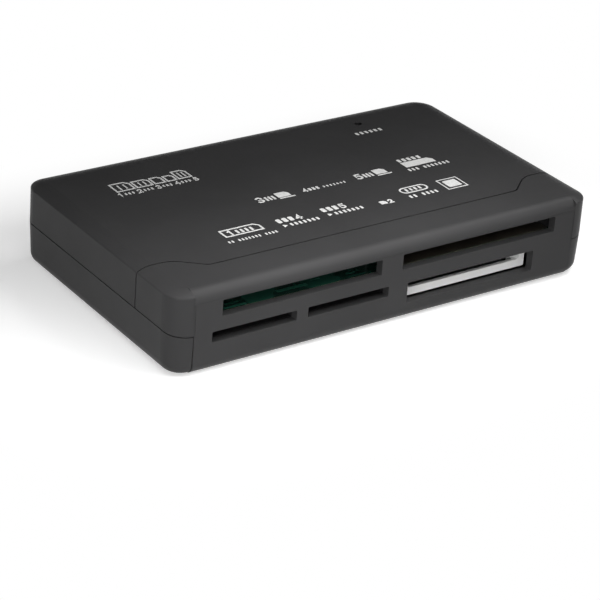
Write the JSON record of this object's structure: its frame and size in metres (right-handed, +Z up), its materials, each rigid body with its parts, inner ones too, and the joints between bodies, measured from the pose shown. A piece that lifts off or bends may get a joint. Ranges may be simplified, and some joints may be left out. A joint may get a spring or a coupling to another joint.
{
  "type": "memory card reader",
  "caption": "Flat black housing with card slots in its front plate, a roof seam that steps back at both ends, and a small cable socket in the back.",
  "frame": {"origin": "middle of the flat underside", "axes": "+X along the width, to the right when the card slots face the viewer; +Y from the slots to the cable socket; +Z up"},
  "size_m": [0.1122, 0.0652, 0.0195],
  "materials": {
    "housing": "fine matt moulded texture",
    "screw_steel": "zinc-plated steel",
    "board_green": "green solder mask over glass fibre board",
    "moulded_black": "moulded connector plastic",
    "nylon_white": "white moulded nylon",
    "contact_gold": "gold-plated spring contacts",
    "sheet_steel": "tin-plated folded sheet",
    "lamp_clear": "clear cast resin",
    "can_aluminium": "drawn can",
    "ceramic_tan": "fired ceramic chips",
    "film_brown": "dark insulating film"
  },
  "bodies": {
    "root": {"top_cover": "housing", "front_bezel": "housing", "bottom_shell": "housing", "case_screws": "screw_steel", "main_board": "board_green", "pin_socket_housing": "moulded_black", "pin_socket_pins": "contact_gold", "pin_socket_film": "film_brown", "wide_socket_frame": "moulded_black", "wide_socket_contacts": "contact_gold", "wide_socket_cover": "sheet_steel", "multi_socket_frame": "nylon_white", "multi_socket_contacts": "contact_gold", "multi_socket_shell": "sheet_steel", "left_socket_frame": "moulded_black", "left_socket_contacts": "contact_gold", "left_socket_shell": "sheet_steel", "right_socket_frame": "moulded_black", "right_socket_contacts": "contact_gold", "right_socket_shell": "sheet_steel", "cable_socket_shell": "sheet_steel", "cable_socket_tongue": "moulded_black", "cable_socket_contacts": "contact_gold", "status_lamp": "lamp_clear", "status_lamp_leads": "sheet_steel", "controller_chip": "moulded_black", "controller_leads": "sheet_steel", "crystal_can": "sheet_steel", "regulator_chip": "moulded_black", "bulk_capacitor": "can_aluminium", "chip_capacitors": "ceramic_tan", "chip_resistors": "moulded_black"}
  },
  "joints": []
}
